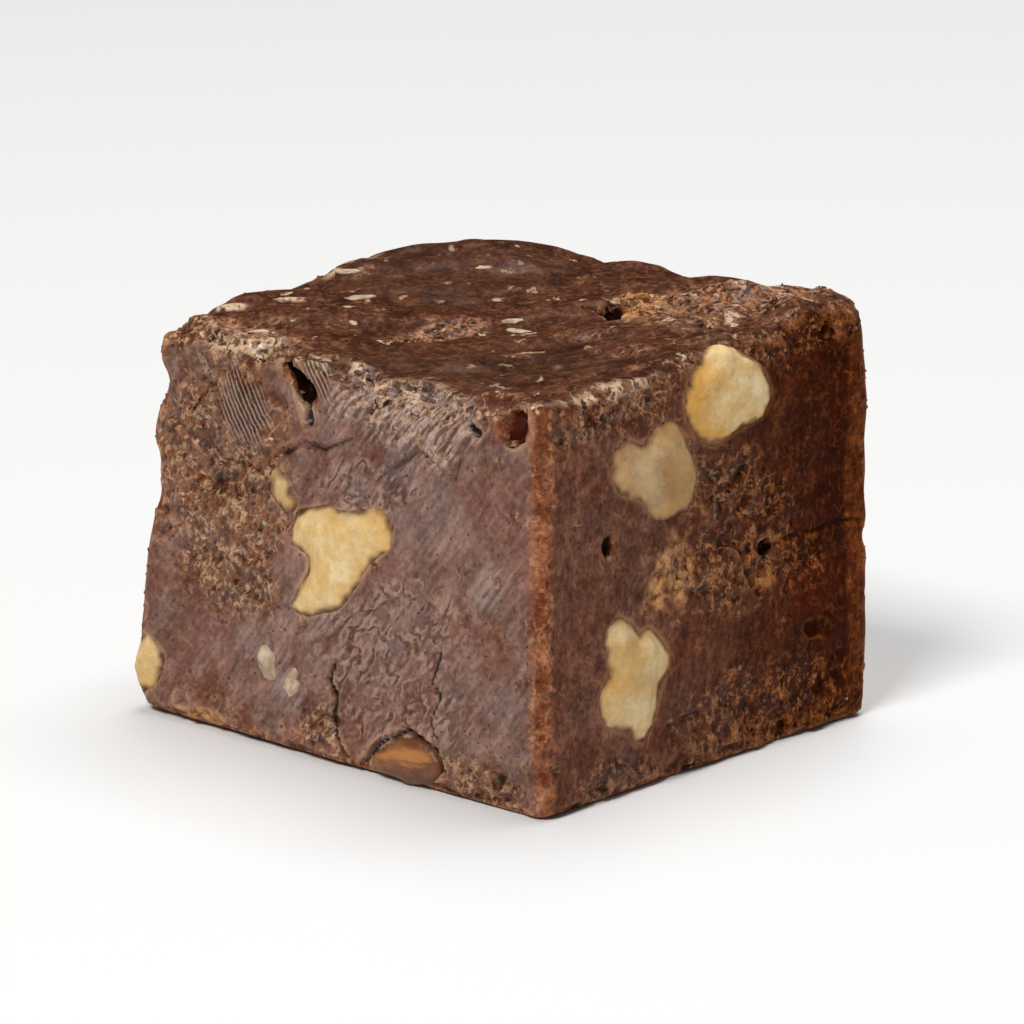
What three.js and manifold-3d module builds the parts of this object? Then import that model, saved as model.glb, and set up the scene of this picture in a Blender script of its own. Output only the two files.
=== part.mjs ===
// A hand-cut piece of chocolate walnut fudge, in millimetres, +Z up.
// The piece stands on its flat underside, with the middle of that underside at the origin.
// Its front (-Y) and right (+X) sides are knife cuts, and its top is the set, spread surface.
// Broken walnut kernels lie in pockets of the fudge and are cut off flush with its sides.
import * as THREE from "three";
import { ImprovedNoise } from "three/addons/math/ImprovedNoise.js";
import { mergeVertices } from "three/addons/utils/BufferGeometryUtils.js";
import Module from "manifold-3d";

const wasm = await Module();
wasm.setup();

// Corners of the cut block: the foot stands on z = 0, and the crown is the uneven top.
const corner = (x, y, z = 0) => new THREE.Vector3(x, y, z);
const FOOT = {
  frontLeft: corner(-19.4, -17.8),
  frontRight: corner(19.4, -18.5),
  backLeft: corner(-19.0, 16.6),
  backRight: corner(19.9, 15.9),
};
const CROWN = {
  frontLeft: corner(-19.5, -15.6, 28.6),
  frontRight: corner(18.0, -17.0, 28.5),
  backLeft: corner(-18.4, 16.4, 28.1),
  backRight: corner(19.7, 15.9, 30.7),
};

// The plain box that is rounded before it is stretched to those corners.
const WIDTH = 38;
const DEPTH = 32;
const HEIGHT = 28;
const FOOT_RADIUS = 1.1; // rounding of the edges round the underside
const CROWN_RADIUS = 1.6; // rounding of the worn edges round the top
const STEPS = { across: 24, back: 21, up: 17 }; // facets along the three sides
const EDGE_BUNCHING = 0.55; // how far the facet lines crowd towards the edges, 0 to 1
const SHAVE = 0.05; // thickness cut off below to leave one plain flat underside
const WELD = 1e-4; // vertices closer than this are one

// Unevenness of all sides: bump width and height.
const SWELL = { size: 13, height: 0.3 };
const RIPPLE = { size: 5, height: 0.16 };
const CRAG_SIZE = 2.6; // width of the lumps in torn places
const LAYER = { swell: 1, ripple: 2, crags: 3, strokes: 7 }; // unrelated patterns of bumps

// Strokes of the spatula across the top, at this bearing from +X.
// They wander sideways by up to wander mm in bends about bend mm long.
const STROKE = {
  bearing: THREE.MathUtils.degToRad(42),
  spacing: 5.2,
  height: 0.24,
  wander: 1.4,
  bend: 11,
};

// Broad forms of the sides and top. Places and half sizes are shares of a side, seen from outside.
// rise is how far the form stands out in mm, and crags the height of the torn lumps on it.
const FORM_CORE = 0.35; // share of a form's half size over which it has its full height
const FORMS = [
  // front: torn upper left, broken top edge, crumbled right foot, ledge low on the left, spread foot
  { side: "front", across: 0.14, up: 0.8, halfAcross: 0.34, halfUp: 0.42, rise: -0.3, crags: 1.42 },
  { side: "front", across: 0.66, up: 1.02, halfAcross: 0.34, halfUp: 0.16, rise: -1.2, crags: 0.57 },
  { side: "front", across: 0.93, up: 0.0, halfAcross: 0.18, halfUp: 0.16, rise: -0.5, crags: 1.14 },
  { side: "front", across: 0.0, up: 0.24, halfAcross: 0.16, halfUp: 0.28, rise: 0.35, crags: 0.19 },
  { side: "front", across: 0.3, up: 0.02, halfAcross: 0.42, halfUp: 0.14, rise: 0.6, crags: 0.4 },
  // right: rough middle between the kernels, crumbled foot, torn far top
  { side: "right", across: 0.42, up: 0.55, halfAcross: 0.3, halfUp: 0.24, rise: -0.25, crags: 0.85 },
  { side: "right", across: 0.65, up: 0.04, halfAcross: 0.5, halfUp: 0.24, rise: -0.35, crags: 1.14 },
  { side: "right", across: 0.8, up: 0.98, halfAcross: 0.34, halfUp: 0.16, rise: -0.3, crags: 0.95 },
  // back and left: one torn and one crumbled stretch each
  { side: "back", across: 0.7, up: 0.3, halfAcross: 0.34, halfUp: 0.36, rise: -0.6, crags: 1.23 },
  { side: "back", across: 0.25, up: 0.92, halfAcross: 0.3, halfUp: 0.2, rise: -0.5, crags: 0.85 },
  { side: "left", across: 0.78, up: 0.72, halfAcross: 0.34, halfUp: 0.4, rise: -0.25, crags: 1.23 },
  { side: "left", across: 0.3, up: 0.06, halfAcross: 0.4, halfUp: 0.18, rise: -0.4, crags: 0.95 },
  { side: "left", across: 1.0, up: 0.24, halfAcross: 0.16, halfUp: 0.28, rise: 0.45, crags: 0.19 },
  // top: dish towards the front corner, crest across the back left, crumbled right edge
  { side: "top", across: 0.66, up: 0.26, halfAcross: 0.46, halfUp: 0.44, rise: -1.3, crags: 0 },
  { side: "top", across: 0.1, up: 0.72, halfAcross: 0.32, halfUp: 0.34, rise: 1.3, crags: 0.28 },
  { side: "top", across: 0.34, up: 0.94, halfAcross: 0.3, halfUp: 0.34, rise: 0.6, crags: 0.28 },
  { side: "top", across: 0.86, up: 0.72, halfAcross: 0.3, halfUp: 0.4, rise: 0.1, crags: 1.04 },
  { side: "top", across: 0.12, up: 0.02, halfAcross: 0.32, halfUp: 0.22, rise: -0.9, crags: 0.95 },
];

// Pits, chips and the notch that go deeper than the relief: half sizes in mm across, up and in.
const PITS = [
  { side: "front", across: 0.375, up: 0.9, size: [2.3, 0.85, 2.0], tilt: -27 },
  { side: "front", across: 0.88, up: 1.0, size: [2.3, 0.8, 1.4], tilt: 6 },
  { side: "front", across: 0.93, up: 0.93, size: [1.4, 1.2, 1.6], tilt: 0 },
  { side: "front", across: 0.13, up: 0.99, size: [1.7, 0.8, 1.1], tilt: -14 },
  { side: "front", across: 0.27, up: 0.975, size: [1.3, 1.0, 1.3], tilt: 18 },
  { side: "front", across: 0.33, up: 0.84, size: [0.6, 1.5, 1.1], tilt: 35 },
  { side: "right", across: 0.2, up: 0.606, size: [0.75, 0.75, 1.2], tilt: 0 },
  { side: "right", across: 0.672, up: 0.479, size: [1.0, 0.9, 1.4], tilt: 20 },
  { side: "right", across: 1.0, up: 0.43, size: [0.9, 1.1, 1.6], tilt: 0 },
  { side: "back", across: 0.34, up: 0.46, size: [0.9, 0.8, 1.3], tilt: 30 },
  { side: "back", across: 0.62, up: 0.99, size: [1.9, 0.8, 1.2], tilt: 8 },
  { side: "left", across: 0.46, up: 0.38, size: [0.9, 1.0, 1.4], tilt: 0 },
  { side: "left", across: 0.7, up: 0.985, size: [1.5, 0.9, 1.2], tilt: -10 },
  { side: "top", across: 0.644, up: 0.642, size: [0.8, 1.9, 1.3], tilt: 40 },
];

// Kernels that show on the front and right. reach is how far the outline stretches from its middle, in mm,
// in even directions from across round by way of up, and deep is how far the kernel goes in.
const KERNELS = {
  walnut_front_large: {
    side: "front",
    across: 0.495,
    up: 0.514,
    deep: 3.0,
    reach: [
      3.3, 5.5, 6.3, 5.8, 4.1, 3.3, 3.1, 3.3, 3.4, 3.8, 4.7, 4.5,
      4.8, 2.7, 2.9, 6.1, 5.7, 4.5, 4.0, 3.6, 3.2, 3.0, 2.8, 2.9,
    ],
  },
  walnut_front_sliver: {
    side: "front",
    across: 0.342,
    up: 0.638,
    deep: 1.3,
    reach: [
      1.1, 0.8, 0.7, 0.7, 0.7, 0.8, 1.0, 1.3, 1.7, 2.0, 2.0, 1.4,
      1.1, 0.9, 0.8, 0.8, 0.8, 0.9, 1.0, 1.4, 1.6, 1.8, 1.9, 1.8,
    ],
  },
  walnut_front_foot: {
    side: "front",
    across: 0.677,
    up: 0.058,
    deep: 2.6,
    reach: [
      3.4, 3.1, 2.7, 2.3, 2.1, 1.9, 1.8, 1.8, 1.8, 1.9, 2.1, 2.4,
      3.1, 3.5, 3.0, 2.2, 1.8, 1.8, 1.8, 1.8, 1.9, 2.0, 2.4, 2.8,
    ],
  },
  walnut_left_corner: {
    side: "front",
    across: 0.022,
    up: 0.122,
    deep: 2.4,
    reach: [
      1.6, 1.7, 1.7, 1.8, 1.9, 2.0, 2.1, 2.0, 1.8, 1.7, 1.6, 1.6,
      1.6, 1.6, 1.7, 1.8, 2.0, 2.1, 2.0, 1.8, 1.7, 1.6, 1.6, 1.6,
    ],
  },
  walnut_right_top: {
    side: "right",
    across: 0.541,
    up: 0.874,
    deep: 3.0,
    reach: [
      4.6, 3.9, 3.5, 3.3, 3.3, 3.5, 3.4, 3.3, 3.4, 3.6, 3.8, 4.0,
      4.2, 4.2, 4.1, 3.9, 3.6, 3.2, 2.9, 2.7, 2.8, 3.5, 4.2, 4.6,
    ],
  },
  walnut_right_middle: {
    side: "right",
    across: 0.331,
    up: 0.75,
    deep: 2.4,
    reach: [
      3.8, 3.4, 3.3, 3.4, 3.5, 3.4, 3.1, 2.7, 2.4, 3.9, 4.8, 4.9,
      4.6, 3.9, 2.9, 2.0, 2.2, 2.6, 3.3, 3.7, 4.1, 4.4, 4.4, 4.4,
    ],
  },
  walnut_right_low: {
    side: "right",
    across: 0.268,
    up: 0.275,
    deep: 2.8,
    reach: [
      3.6, 3.9, 3.8, 3.8, 3.7, 3.1, 3.9, 4.7, 4.5, 3.9, 2.5, 2.5,
      3.2, 3.6, 4.0, 3.9, 3.6, 3.7, 4.3, 4.5, 4.0, 3.4, 3.0, 3.0,
    ],
  },
};

// Kernels of the sides that face away follow a seeded rule, in a zigzag across each side.
const AWAY_SIDES = ["back", "left"];
const AWAY_SPAN = { from: 0.05, to: 0.8 }; // share of a side over which they lie
const KERNELS_PER_AWAY_SIDE = 3;
const KERNEL_SEED = 20;
const AWAY_HEIGHTS = { low: 0.3, high: 0.68, spread: 0.08 }; // shares of a side's height
const AWAY_REACH = { least: 2.8, most: 3.9, count: 24 }; // mean reach of an outline, directions it has
const AWAY_WAVER = { long: 0.24, lobed: 0.14 }; // shares by which an outline is drawn out and lobed
const AWAY_DEEP = 2.6;

const KERNEL_ROUGHNESS = 0.12; // share by which a kernel's surface wavers
const PIT_ROUGHNESS = 0.4; // share by which a pit's walls waver
const WAVER_SIZE = 0.75; // width of that waver on a ball of radius 1
const POCKET_GAP = 0.25; // clearance between a kernel and its pocket
const KERNEL_TURNS = 24; // steps of a kernel round its outline
const KERNEL_RINGS = 7; // steps of a kernel from its open face to its back
const PIT_FACETS = 1; // facet level of the pits

const CHOCOLATE = new THREE.MeshStandardMaterial({ color: 0x5c3a2b, roughness: 0.55, metalness: 0 });
const KERNEL = new THREE.MeshStandardMaterial({ color: 0xd7b583, roughness: 0.6, metalness: 0 });
const SKIN = new THREE.MeshStandardMaterial({ color: 0x95613b, roughness: 0.45, metalness: 0 });
const SKINNED = ["walnut_front_foot"]; // kernels that show their brown skin, not their flesh

// How each side reads the block's shares, and how far it is turned from the front about +Z.
const SIDES = {
  front: { turn: 0, out: corner(0, -1), across: (s) => s.x, up: (s) => s.z },
  right: { turn: Math.PI / 2, out: corner(1, 0), across: (s) => s.y, up: (s) => s.z },
  back: { turn: Math.PI, out: corner(0, 1), across: (s) => 1 - s.x, up: (s) => s.z },
  left: { turn: -Math.PI / 2, out: corner(-1, 0), across: (s) => 1 - s.y, up: (s) => s.z },
  top: { turn: 0, out: corner(0, 0, 1), across: (s) => s.x, up: (s) => s.y },
};

const perlin = new ImprovedNoise();

// Smooth unevenness from -1 to 1 with bumps about size mm wide; layer gives an unrelated pattern.
function bumps(point, size, layer) {
  return perlin.noise(point.x / size + layer, point.y / size - layer, point.z / size + 2 * layer);
}

// The point of the block at these shares of the way across, back and up.
function inBlock({ x: across, y: back, z: up }) {
  const edge = (left, right) => new THREE.Vector3().lerpVectors(left, right, across);
  const level = (c) => edge(c.frontLeft, c.frontRight).lerp(edge(c.backLeft, c.backRight), back);
  return level(FOOT).lerp(level(CROWN), up);
}

// Shares of the block at a place on one of its sides.
function onSide(side, across, up) {
  return {
    front: corner(across, 0, up),
    right: corner(1, across, up),
    back: corner(1 - across, 1, up),
    left: corner(0, 1 - across, up),
    top: corner(across, up, 1),
  }[side];
}

// 1 in the middle of an oval form, falling smoothly to 0 at its rim.
function coverage(form, across, up) {
  const reach = Math.hypot((across - form.across) / form.halfAcross, (up - form.up) / form.halfUp);
  return 1 - THREE.MathUtils.smoothstep(reach, FORM_CORE, 1);
}

// Height of the spatula strokes at a point of the top.
function strokeHeight(point) {
  const aside = point.y * Math.cos(STROKE.bearing) - point.x * Math.sin(STROKE.bearing);
  const wander = STROKE.wander * bumps(point, STROKE.bend, LAYER.strokes);
  return STROKE.height * Math.sin((2 * Math.PI * (aside + wander)) / STROKE.spacing);
}

// How far the skin stands out at a point whose plain outward direction is out.
function reliefAt(share, point, out) {
  let rise = SWELL.height * bumps(point, SWELL.size, LAYER.swell);
  rise += RIPPLE.height * bumps(point, RIPPLE.size, LAYER.ripple);
  rise += Math.max(0, out.z) * strokeHeight(point);
  for (const form of FORMS) {
    const side = SIDES[form.side];
    const facing = Math.max(0, out.dot(side.out));
    const cover = facing * coverage(form, side.across(share), side.up(share));
    rise += cover * (form.rise + form.crags * bumps(point, CRAG_SIZE, LAYER.crags));
  }
  return rise;
}

// Moves a facet line at share t towards the nearer edge, so that the rounding has enough lines.
function bunch(t) {
  return THREE.MathUtils.lerp(t, 0.5 - 0.5 * Math.cos(Math.PI * t), EDGE_BUNCHING);
}

// A three.js geometry as a solid that can be joined and cut.
function solidOf(geometry) {
  const bare = geometry.clone();
  bare.deleteAttribute("normal");
  bare.deleteAttribute("uv");
  const merged = mergeVertices(bare, WELD);
  return new wasm.Manifold(
    new wasm.Mesh({
      numProp: 3,
      vertProperties: merged.attributes.position.array,
      triVerts: new Uint32Array(merged.index.array),
    }),
  );
}

// Calls change on every vertex of a geometry and stores where it leaves the vertex.
function reshape(geometry, change) {
  const position = geometry.attributes.position;
  const point = new THREE.Vector3();
  for (let i = 0; i < position.count; i += 1) {
    point.fromBufferAttribute(position, i);
    change(point);
    position.setXYZ(i, point.x, point.y, point.z);
  }
  return geometry;
}

// The whole block with its relief, before the pockets are cut.
function blockSolid() {
  const box = new THREE.BoxGeometry(1, 1, 1, STEPS.across, STEPS.back, STEPS.up);
  const half = corner(WIDTH / 2, DEPTH / 2, HEIGHT / 2);
  const size = half.clone().multiplyScalar(2);
  const whole = solidOf(
    reshape(box, (point) => {
      const up = bunch(point.z + 0.5);
      const plain = corner(bunch(point.x + 0.5), bunch(point.y + 0.5), up).multiply(size).sub(half);
      const radius = THREE.MathUtils.lerp(FOOT_RADIUS, CROWN_RADIUS, up * up);
      const reach = half.clone().subScalar(radius);
      const core = plain.clone().clamp(reach.clone().negate(), reach);
      const out = plain.clone().sub(core).normalize();
      const share = core.addScaledVector(out, radius).add(half).divide(size);
      point.copy(inBlock(share));
      // The underside stays flat, and the relief dies out towards it.
      const level = Math.max(0, -out.z);
      point.addScaledVector(out, (1 - level) * reliefAt(share, point, out));
    }),
  );
  return whole.trimByPlane([0, 0, 1], SHAVE);
}

// A ball of radius 1 whose surface is made to waver by a share; the pattern differs from seed to seed.
function roughBall(ball, roughness, seed) {
  return reshape(ball, (point) => {
    const at = point.clone().divideScalar(WAVER_SIZE).add(seed);
    point.multiplyScalar(1 + roughness * perlin.noise(at.x, at.y, at.z));
  });
}

// A shape made for the front side, turned to a side and set at a place on its skin.
function settled(shape, side, place) {
  if (side === "top") shape.rotateX(Math.PI / 2);
  shape.rotateZ(SIDES[side].turn);
  shape.translate(place.x, place.y, place.z);
  return solidOf(shape);
}

// The space that a pit takes from the fudge.
function pitSolid({ side, across, up, size, tilt }) {
  const [halfAcross, halfUp, halfDeep] = size;
  const place = inBlock(onSide(side, across, up));
  const pit = roughBall(new THREE.IcosahedronGeometry(1, PIT_FACETS), PIT_ROUGHNESS, place);
  pit.scale(halfAcross, halfDeep, halfUp);
  pit.rotateY(-THREE.MathUtils.degToRad(tilt));
  return settled(pit, side, place);
}

// How far an outline stretches in a direction, between its listed reaches.
function reachAt(reach, turn) {
  const at = reach.length * (1 + turn / (2 * Math.PI));
  const from = Math.floor(at);
  const listed = (i) => reach[i % reach.length];
  return THREE.MathUtils.lerp(listed(from), listed(from + 1), at - from);
}

// A whole kernel, its middle on the skin of a side and its half sizes grown by grow mm.
function kernelSolid({ side, across, up, deep, reach }, grow) {
  const place = inBlock(onSide(side, across, up));
  const ball = new THREE.SphereGeometry(1, KERNEL_TURNS, KERNEL_RINGS);
  const kernel = roughBall(ball, KERNEL_ROUGHNESS, place);
  reshape(kernel, (point) => {
    const stretch = reachAt(reach, Math.atan2(point.z, point.x)) + grow;
    point.multiply(corner(stretch, deep + grow, stretch));
  });
  return settled(kernel, side, place);
}

// A small repeatable generator of numbers from 0 to 1.
function seeded(seed) {
  let state = seed;
  return () => {
    state = (state * 1664525 + 1013904223) % 4294967296;
    return state / 4294967296;
  };
}

// Kernels for the sides that face away, as entries like those of KERNELS.
function awayKernels() {
  const random = seeded(KERNEL_SEED);
  const between = (low, high) => low + (high - low) * random();
  const outline = () => {
    const mean = between(AWAY_REACH.least, AWAY_REACH.most);
    const [long, lobed] = [between(0, Math.PI), between(0, 2 * Math.PI)];
    return Array.from({ length: AWAY_REACH.count }, (_, i) => {
      const turn = (2 * Math.PI * i) / AWAY_REACH.count;
      const drawn = AWAY_WAVER.long * Math.cos(2 * (turn - long));
      return mean * (1 + drawn + AWAY_WAVER.lobed * Math.cos(3 * turn - lobed));
    });
  };
  const kernels = {};
  for (const side of AWAY_SIDES) {
    for (let i = 0; i < KERNELS_PER_AWAY_SIDE; i += 1) {
      const along = (i + between(0.35, 0.65)) / KERNELS_PER_AWAY_SIDE;
      const across = THREE.MathUtils.lerp(AWAY_SPAN.from, AWAY_SPAN.to, along);
      const level = i % 2 === 0 ? AWAY_HEIGHTS.low : AWAY_HEIGHTS.high;
      const up = level + between(-AWAY_HEIGHTS.spread, AWAY_HEIGHTS.spread);
      kernels[`walnut_${side}_${i + 1}`] = { side, across, up, deep: AWAY_DEEP, reach: outline() };
    }
  }
  return kernels;
}

// A solid as a named mesh.
function meshOf(name, solid, material) {
  const { numProp, vertProperties, triVerts } = solid.getMesh();
  const geometry = new THREE.BufferGeometry();
  geometry.setAttribute("position", new THREE.BufferAttribute(new Float32Array(vertProperties), numProp));
  geometry.setIndex(new THREE.BufferAttribute(new Uint32Array(triVerts), 1));
  geometry.computeVertexNormals();
  const mesh = new THREE.Mesh(geometry, material);
  mesh.name = name;
  return mesh;
}

const piece = new THREE.Group();
const block = blockSolid();
let fudge = block;
for (const pit of PITS) fudge = fudge.subtract(pitSolid(pit));
for (const [name, kernel] of Object.entries({ ...KERNELS, ...awayKernels() })) {
  fudge = fudge.subtract(kernelSolid(kernel, POCKET_GAP));
  piece.add(meshOf(name, kernelSolid(kernel, 0).intersect(block), SKINNED.includes(name) ? SKIN : KERNEL));
}
piece.add(meshOf("fudge", fudge, CHOCOLATE));

// The middle of the piece's underside goes to the origin.
const extent = new THREE.Box3().setFromObject(piece);
const middle = extent.getCenter(new THREE.Vector3());
piece.position.set(-middle.x, -middle.y, -extent.min.z);

const walnutFudge = new THREE.Group();
walnutFudge.add(piece);

export default walnutFudge;
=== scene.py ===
"""A hand-cut piece of chocolate walnut fudge on a pale floor.

The block and its kernels are meshes that stand for the solids of the frame; crumbs and chips of nut
are added on the block's surface. Shapes are worked in millimetres, and in metres once they are finished."""
import math
import random
from types import SimpleNamespace

import bmesh
import bpy
import numpy as np
from mathutils import Matrix, Vector, noise
from mathutils.bvhtree import BVHTree


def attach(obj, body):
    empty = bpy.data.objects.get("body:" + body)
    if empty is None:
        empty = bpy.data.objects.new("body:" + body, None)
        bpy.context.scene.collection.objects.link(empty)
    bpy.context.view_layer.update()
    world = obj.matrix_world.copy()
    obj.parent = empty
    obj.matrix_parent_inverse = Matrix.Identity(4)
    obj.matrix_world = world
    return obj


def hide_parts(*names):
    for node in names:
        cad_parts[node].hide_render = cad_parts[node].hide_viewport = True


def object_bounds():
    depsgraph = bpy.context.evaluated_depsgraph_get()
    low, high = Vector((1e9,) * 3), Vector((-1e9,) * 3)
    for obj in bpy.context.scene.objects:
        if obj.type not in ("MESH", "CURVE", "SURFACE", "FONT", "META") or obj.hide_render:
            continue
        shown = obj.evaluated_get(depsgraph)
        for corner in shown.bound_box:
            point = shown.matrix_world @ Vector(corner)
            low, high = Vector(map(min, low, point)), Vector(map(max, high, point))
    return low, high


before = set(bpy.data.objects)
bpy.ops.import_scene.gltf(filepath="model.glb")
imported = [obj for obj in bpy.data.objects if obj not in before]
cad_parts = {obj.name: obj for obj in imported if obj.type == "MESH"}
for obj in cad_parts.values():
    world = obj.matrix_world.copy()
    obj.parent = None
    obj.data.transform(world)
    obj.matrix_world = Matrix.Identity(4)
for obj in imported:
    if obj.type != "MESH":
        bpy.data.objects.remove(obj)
cad_low, cad_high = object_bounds()

MM = 0.001
LOW = np.array(cad_low) / MM
HIGH = np.array(cad_high) / MM
KERNELS = sorted(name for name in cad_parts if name.startswith("walnut"))

# Fineness of the meshes, in mm
FUDGE_CELL = 0.265
KERNEL_CELL = 0.17
WELD = 1e-4
UNDERSIDE = 0.02

# Rounds in which points are smoothed and values spread
FUDGE_SMOOTHING = 4
KERNEL_SMOOTHING = 2
HOLLOW_SMOOTHING = 9
PIT_SMOOTHING = 80
EDGE_SMOOTHING = 16
EDGE_SPREAD = 16
SEAM_SPREAD = 4

# Width of each pattern's bumps or broken faces, in mm, or in folds and strokes for those two
# A pattern's place in the list is its layer
PATTERNS = {
    "zone rim": 3.0,
    "fine zone rim": 1.1,
    "crumbled edge": 2.6,
    "worn edge": 1.6,
    "coarse crumb": 2.3,
    "fine crumb": 1.0,
    "folds": 1.0,
    "strokes": 1.0,
    "swell": 4.6,
    "dents": 1.9,
    "chipped edge": 2.1,
    "pocks": 1.5,
    "pocked places": 7.0,
    "undercut foot": 2.7,
    "pocket rim": 1.2,
    "torn spots": 1.7,
    "film": 3.4,
    "worn foot": 2.4,
    "worn dents": 2.1,
    "kernel smear": 2.4,
    "kernel swell": 2.4,
    "kernel dents": 1.0,
    "kernel planes": 2.6,
    "fine kernel smear": 0.9,
    "dull kernel": 2.2,
    "ripe kernel": 1.6,
}
LAYERS = {kind: place for place, kind in enumerate(PATTERNS, 1)}

# Steps from layer to layer and from face to face, which keep patterns from repeating each other
BUMP_STEP = 19.7
BROKEN_STEP = 23.1
TILT_STEP = 37.3
PATTERN_SEED = 5
noise.seed_set(PATTERN_SEED)

# Height of the relief that each pattern or zone gives, in mm; crumb and planes: share of their own height
RELIEF = {
    "swell": 0.1,
    "dents": 0.08,
    "coarse crumb": 0.35,
    "fine crumb": 0.4,
    "torn": 0.06,
    "lip": 0.15,
    "folds": 0.08,
    "strokes": 0.1,
    "worn dents": 0.07,
    "chipped edge": 0.4,
    "pocks": 0.4,
    "undercut foot": 0.4,
    "pocket": 0.6,
    "kernel step": 0.1,
    "kernel dome": 0.45,
    "kernel planes": 0.06,
    "kernel swell": 0.12,
    "kernel dents": 0.05,
    "skin dome": 0.5,
}

# Size of a fold in the film and of a stroke on the top: along the drag, beside it and outwards, in mm
FOLD_SIZE = np.array([3.2, 0.9, 2.0])
STROKE_SIZE = np.array([4.4, 1.6, 3.0])

# How a kernel fills its pocket, in mm
POCKET_REACH = 0.45
PRESS = 0.1

# For each side: its directions across and up, seen from outside, and out
AXES = {
    "front": ((1, 0, 0), (0, 0, 1), (0, -1, 0)),
    "right": ((0, 1, 0), (0, 0, 1), (1, 0, 0)),
    "back": ((-1, 0, 0), (0, 0, 1), (0, 1, 0)),
    "left": ((0, -1, 0), (0, 0, 1), (-1, 0, 0)),
    "top": ((1, 0, 0), (0, 1, 0), (0, 0, 1)),
}

# Direction in which each side was cut, or the top was spread, in degrees from across to up
DRAG = {"front": 52, "right": 86, "back": 52, "left": 58, "top": 42}

# Share of each side that the cut has smeared with a greyish film, whose grey partly stands for painted sheen
# reflected from the pale floor
FILM_AND_SHEEN = {"front": 1.0, "right": 0.26, "back": 0.9, "left": 0.95, "top": 0.0}

# Oval zones of the sides: side, place across and up, half length and half width in mm, tilt in degrees
ZONES = {
    "torn": [
        ("front", -12.5, 18.6, 9.5, 7.4, -87),
        ("front", -11.5, 12.0, 6.0, 3.0, -14),
        ("front", 14.2, 1.5, 3.8, 2.2, -10),
        ("front", -1.2, 2.7, 2.3, 1.8, 10),
        ("right", 2.2, 19.4, 5.6, 3.0, -20),
        ("right", 3.4, 13.8, 9.0, 3.4, -8),
        ("right", -9.0, 26.6, 7.5, 1.7, 2),
        ("right", 6.2, 3.0, 10.5, 3.4, -3),
        ("right", -10.2, 1.5, 4.5, 1.8, 5),
        ("right", 10.5, 28.6, 7.0, 1.3, 6),
        ("back", -8.5, 10.0, 9.0, 7.0, 60),
        ("back", 10.0, 26.5, 7.0, 3.0, -4),
        ("left", 3.0, 17.0, 8.0, 6.0, 80),
        ("left", -6.0, 2.5, 9.0, 3.0, 4),
        ("top", 12.0, 11.0, 9.0, 5.5, 66),
        ("top", -12.0, -13.5, 6.5, 3.0, -6),
        ("top", -2.7, -4.1, 4.8, 1.6, 73),
        ("top", 6.9, 6.6, 3.4, 2.0, 132),
    ],
    "comb": [
        ("front", -10.5, 23.2, 3.2, 2.2, -56),
        ("front", -3.4, 26.6, 2.2, 1.0, -46),
        ("left", 4.0, 23.0, 3.2, 2.2, -56),
    ],
    "pale": [
        ("front", 5.1, 26.0, 8.0, 3.0, 2),
        ("front", 8.8, 23.6, 2.0, 1.7, 45),
        ("left", -5.0, 25.5, 7.0, 2.8, 0),
        ("back", -4.0, 25.5, 6.0, 2.6, 0),
    ],
    "bluish": [
        ("front", 5.0, 22.0, 2.2, 1.7, 35),
        ("back", 3.0, 20.0, 2.4, 1.8, 30),
    ],
    "wrinkles": [
        ("front", 5.2, 9.7, 8.5, 5.0, 29),
        ("front", 6.4, 4.9, 6.5, 3.4, 21),
        ("front", 2.0, 20.0, 6.0, 2.4, 15),
        ("back", 5.0, 9.0, 8.0, 5.0, 30),
        ("left", -5.0, 12.0, 7.0, 5.0, 30),
    ],
    "gloss": [
        ("top", 6.0, -9.0, 10.5, 6.5, 42),
        ("top", -10.0, 5.0, 11.0, 8.0, 42),
    ],
    "skin": [
        ("right", -4.2, 14.6, 3.9, 1.7, 50),
        ("right", -2.6, 14.0, 2.6, 1.0, 75),
        ("right", 5.7, 12.3, 1.6, 0.8, -12),
        ("front", -12.1, 0.9, 2.8, 0.7, -2),
        ("top", 6.9, 6.7, 3.0, 1.6, 132),
        ("back", 2.0, 13.0, 2.2, 1.0, 40),
        ("left", -9.0, 18.0, 2.0, 0.9, 60),
    ],
    "ruddy": [
        ("front", 12.6, 27.7, 2.4, 1.2, 0),
        ("front", 14.2, 26.2, 1.9, 1.7, 0),
        ("top", 12.5, -14.4, 1.9, 1.2, 0),
        ("front", -2.2, 3.4, 1.8, 1.3, 60),
        ("front", -18.2, 9.0, 3.0, 1.2, 90),
        ("right", 0.2, 15.4, 2.4, 1.2, 60),
        ("right", 9.2, 10.6, 4.2, 2.2, -8),
        ("right", -11.0, 21.5, 1.8, 1.0, 40),
        ("back", 8.0, 12.0, 4.0, 2.0, 20),
        ("left", 3.0, 8.0, 3.0, 1.6, -20),
    ],
    "lip": [
        ("right", -10.5, 28.3, 6.5, 0.8, -2),
        ("front", -10.6, 27.6, 4.6, 0.9, 5),
        ("front", -4.0, 27.8, 1.8, 0.8, -50),
        ("front", -0.8, 27.5, 0.8, 0.6, 0),
        ("top", -17.2, 2.8, 3.6, 0.6, 100),
        ("top", -17.3, -9.2, 1.2, 0.5, 45),
        ("top", -14.8, -6.2, 1.4, 0.4, 50),
        ("back", 4.0, 28.0, 5.0, 0.8, 0),
        ("left", 6.0, 27.5, 5.0, 0.8, 0),
    ],
    "rubbed": [
        ("right", 15.2, 15.0, 16.0, 1.4, 90),
        ("back", 15.5, 15.0, 16.0, 1.2, 90),
    ],
    "smudge": [
        ("front", -5.4, 5.3, 3.4, 1.5, -38),
        ("front", 14.5, 15.2, 2.1, 1.7, 38),
        ("front", -1.5, 9.6, 2.6, 0.9, 30),
        ("back", 10.0, 8.0, 2.6, 1.6, 30),
        ("left", -10.0, 8.0, 2.6, 1.6, 30),
    ],
}

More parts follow.
